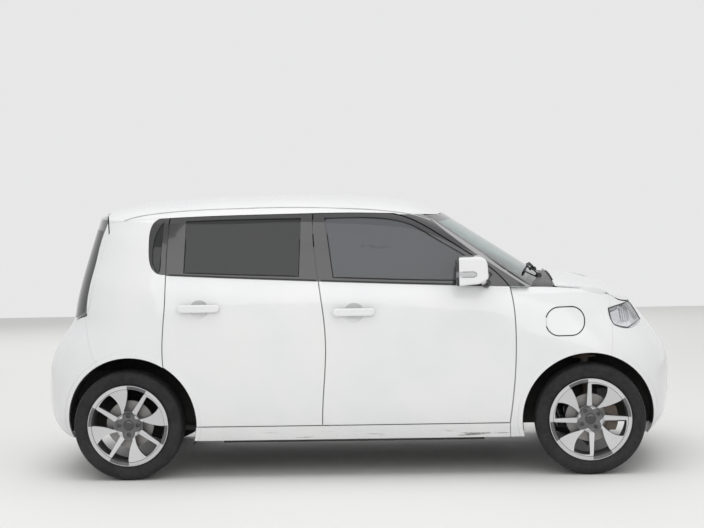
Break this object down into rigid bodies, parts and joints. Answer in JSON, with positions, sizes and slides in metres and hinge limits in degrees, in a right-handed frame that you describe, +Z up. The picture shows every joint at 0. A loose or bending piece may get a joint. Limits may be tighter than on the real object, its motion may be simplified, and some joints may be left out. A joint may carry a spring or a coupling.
{
  "type": "electric hatchback",
  "caption": "Small five-door electric hatchback with hinged doors, bonnet, tailgate and charge flap, steering front wheels and rolling wheels on alloy rims.",
  "frame": {"origin": "on the ground, at the middle of the car's length and width", "axes": "+X towards the car's nose, +Y to its left, +Z up"},
  "size_m": [3.4945, 2.044, 1.5045],
  "materials": {
    "body_white": "gloss",
    "gloss_black": "gloss",
    "black_plastic": "grained",
    "clear_glass": "polished",
    "dark_glass": "polished",
    "clear_plastic": "polished",
    "lamp_dark": "gloss",
    "lamp_red": "gloss",
    "cabin_plastic": "grained",
    "cabin_black": "satin",
    "seat_fabric": "woven",
    "underbody_grey": "satin",
    "chassis_black": "satin",
    "cast_alloy": "cast",
    "cast_iron": "cast",
    "wheel_alloy": "machined",
    "tyre": "matt"
  },
  "bodies": {
    "body": {"body_side_right": "body_white", "body_side_left": "body_white", "roof": "body_white", "underbody": "underbody_grey", "front_wing_right": "body_white", "front_wing_left": "body_white", "front_bumper": "body_white", "front_grille": "black_plastic", "rear_bumper": "body_white", "windscreen": "clear_glass", "quarter_windows": "dark_glass", "headlamps": "lamp_dark", "headlamp_covers": "clear_plastic", "scuttle_panel": "black_plastic", "dashboard": "cabin_plastic", "front_seats": "seat_fabric", "rear_seat": "seat_fabric", "front_arch_liners": "black_plastic", "rear_arch_liners": "black_plastic", "drive_unit": "cast_alloy", "battery_pack": "underbody_grey", "front_frame": "chassis_black", "rear_axle": "chassis_black", "charge_port": "black_plastic"},
    "front_door_right": {"front_door_right": "body_white", "front_window_right": "dark_glass", "door_mirror_right": "body_white"},
    "rear_door_right": {"rear_door_right": "body_white", "rear_window_right": "dark_glass"},
    "front_door_left": {"front_door_left": "body_white", "front_window_left": "dark_glass", "door_mirror_left": "body_white"},
    "rear_door_left": {"rear_door_left": "body_white", "rear_window_left": "dark_glass"},
    "tailgate": {"tailgate": "gloss_black", "tailgate_window": "dark_glass", "tail_lamps": "lamp_red"},
    "bonnet": {"bonnet": "body_white"},
    "charge_flap": {"charge_flap": "body_white"},
    "knuckle_right": {"knuckle_right": "cast_iron"},
    "knuckle_left": {"knuckle_left": "cast_iron"},
    "wheel_front_right": {"wheel_front_right": "wheel_alloy", "tyre_front_right": "tyre"},
    "wheel_front_left": {"wheel_front_left": "wheel_alloy", "tyre_front_left": "tyre"},
    "wheel_rear_right": {"wheel_rear_right": "wheel_alloy", "tyre_rear_right": "tyre"},
    "wheel_rear_left": {"wheel_rear_left": "wheel_alloy", "tyre_rear_left": "tyre"},
    "steering_wheel": {"steering_wheel": "cabin_black"}
  },
  "joints": [
    {"name": "front_door_right_hinge", "type": "hinge", "parent": "body", "child": "front_door_right", "pos_m": [0.869, -0.83, 0.6], "axis": [0, 0, 1], "range_deg": [0, 65]},
    {"name": "rear_door_right_hinge", "type": "hinge", "parent": "body", "child": "rear_door_right", "pos_m": [-0.141, -0.83, 0.6], "axis": [0, 0, 1], "range_deg": [0, 65]},
    {"name": "front_door_left_hinge", "type": "hinge", "parent": "body", "child": "front_door_left", "pos_m": [0.869, 0.83, 0.6], "axis": [0, 0, -1], "range_deg": [0, 65]},
    {"name": "rear_door_left_hinge", "type": "hinge", "parent": "body", "child": "rear_door_left", "pos_m": [-0.141, 0.83, 0.6], "axis": [0, 0, -1], "range_deg": [0, 65]},
    {"name": "tailgate_hinge", "type": "hinge", "parent": "body", "child": "tailgate", "pos_m": [-1.361, 0, 1.432], "axis": [0, 1, 0], "range_deg": [0, 80]},
    {"name": "bonnet_hinge", "type": "hinge", "parent": "body", "child": "bonnet", "pos_m": [1.082, 0, 1.038], "axis": [0, -1, 0], "range_deg": [0, 50]},
    {"name": "charge_flap_hinge", "type": "hinge", "parent": "body", "child": "charge_flap", "pos_m": [1.0243, -0.812, 0.82], "axis": [0, 0, -1], "range_deg": [0, 100]},
    {"name": "steering_right", "type": "hinge", "parent": "body", "child": "knuckle_right", "pos_m": [1.2575, -0.655, 0.156], "axis": [-0.0377, 0.1432, 0.989], "range_deg": [-30, 30]},
    {"name": "steering_left", "type": "hinge", "parent": "body", "child": "knuckle_left", "pos_m": [1.2575, 0.655, 0.156], "axis": [-0.0377, -0.1432, 0.989], "range_deg": [-30, 30]},
    {"name": "wheel_front_right_spin", "type": "hinge", "parent": "knuckle_right", "child": "wheel_front_right", "pos_m": [1.2575, -0.71, 0.296], "axis": [0, 1, 0], "continuous": true},
    {"name": "wheel_front_left_spin", "type": "hinge", "parent": "knuckle_left", "child": "wheel_front_left", "pos_m": [1.2575, 0.71, 0.296], "axis": [0, 1, 0], "continuous": true},
    {"name": "wheel_rear_right_spin", "type": "hinge", "parent": "body", "child": "wheel_rear_right", "pos_m": [-1.2175, -0.71, 0.296], "axis": [0, 1, 0], "continuous": true},
    {"name": "wheel_rear_left_spin", "type": "hinge", "parent": "body", "child": "wheel_rear_left", "pos_m": [-1.2175, 0.71, 0.296], "axis": [0, 1, 0], "continuous": true},
    {"name": "steering_wheel_turn", "type": "hinge", "parent": "body", "child": "steering_wheel", "pos_m": [0.42, 0.35, 0.92], "axis": [-0.9135, 0, 0.4067], "range_deg": [-480, 480]}
  ],
  "couplings": [
    {"joint": "steering_right", "follows": "steering_left", "ratio": 1},
    {"joint": "steering_wheel_turn", "follows": "steering_left", "ratio": 15}
  ]
}
